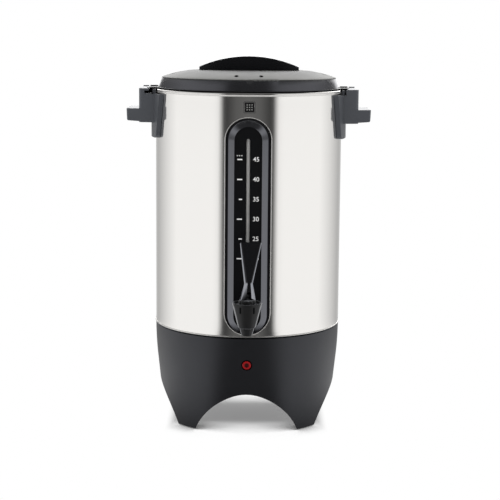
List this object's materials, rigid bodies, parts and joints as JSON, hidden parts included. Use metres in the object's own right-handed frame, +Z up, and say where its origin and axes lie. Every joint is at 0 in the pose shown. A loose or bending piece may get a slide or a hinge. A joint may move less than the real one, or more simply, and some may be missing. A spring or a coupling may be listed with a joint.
{
  "type": "coffee urn",
  "caption": "Steel percolating coffee urn on an arched plastic base, with a lift-off lid, two side grips, a sight gauge and a spring-closed lever tap.",
  "frame": {"origin": "on the surface the urn stands on, under the middle of the urn's bounding box", "axes": "+Z up, the tap faces -Y, the two side grips lie along X"},
  "size_m": [0.2778, 0.2609, 0.42],
  "materials": {
    "steel": "vertically polished sheet, fine grain round the tank",
    "steel_plain": "plain pressed stainless steel",
    "zinc": "zinc-plated fasteners",
    "aluminium": "satin, spun and pressed",
    "element": "heat-darkened sheath",
    "badge": "printed plate",
    "base_plastic": "fine moulded grain, charcoal",
    "lid_plastic": "fine moulded grain, charcoal",
    "grip_plastic": "semi-gloss black phenolic",
    "handle_plastic": "fine moulded grain, charcoal",
    "gauge_plastic": "semi-gloss black",
    "tap_plastic": "semi-gloss black",
    "phenolic": "phenolic moulding",
    "ceramic": "glazed ceramic",
    "silicone": "food-grade silicone",
    "rubber": "soft rubber",
    "wire": "sleeved lead",
    "gauge_glass": "clear borosilicate tube",
    "lamp_red": "translucent red"
  },
  "bodies": {
    "urn": {"tank_shell": "steel", "tank_floor": "steel_plain", "tie_nuts": "zinc", "badge_plate": "badge", "base_skirt": "base_plastic", "base_plate": "base_plastic", "base_screws": "zinc", "foot_pads": "rubber", "handle_left": "handle_plastic", "handle_right": "handle_plastic", "handle_screws": "zinc", "handle_washers": "silicone", "gauge_housing": "gauge_plastic", "gauge_scale_plate": "gauge_plastic", "gauge_glass": "gauge_glass", "gauge_cap": "gauge_plastic", "gauge_seal": "silicone", "gauge_screw": "zinc", "tap_body": "tap_plastic", "tap_outer_washer": "silicone", "tap_inner_washer": "silicone", "tap_lock_nut": "zinc", "tap_bonnet": "tap_plastic", "pump_tube": "aluminium", "coffee_basket": "aluminium", "basket_spreader": "aluminium", "brew_element": "element", "warming_element": "element", "thermostat": "phenolic", "thermal_fuse": "ceramic", "terminal_block": "ceramic", "wiring": "wire", "inlet_housing": "phenolic", "inlet_pins": "zinc", "pilot_lens": "lamp_red", "pilot_holder": "phenolic"},
    "lid": {"lid_shell": "lid_plastic", "lid_grip": "grip_plastic", "lid_grip_screws": "zinc"},
    "valve": {"valve_stem": "steel_plain", "seat_cup": "silicone", "valve_spring": "zinc"},
    "lever": {"tap_lever": "tap_plastic", "lever_pin": "steel_plain"}
  },
  "joints": [
    {"name": "lid_lift", "type": "slide", "parent": "urn", "child": "lid", "axis": [0, 0, 1], "range_m": [0, 0.15]},
    {"name": "stem_lift", "type": "slide", "parent": "urn", "child": "valve", "axis": [0, 0, 1], "range_m": [0, 0.00223], "stiffness_N_per_m": 1500, "springref_m": -0.0067, "deforming": ["valve_spring"]},
    {"name": "lever_tilt", "type": "hinge", "parent": "valve", "child": "lever", "pos_m": [0, -0.11205, 0.1659], "axis": [0.9703, 0.2419, 0], "range_deg": [0, 40]}
  ],
  "couplings": [
    {"joint": "lever_tilt", "follows": "stem_lift", "rad_per_m": 312.5}
  ]
}
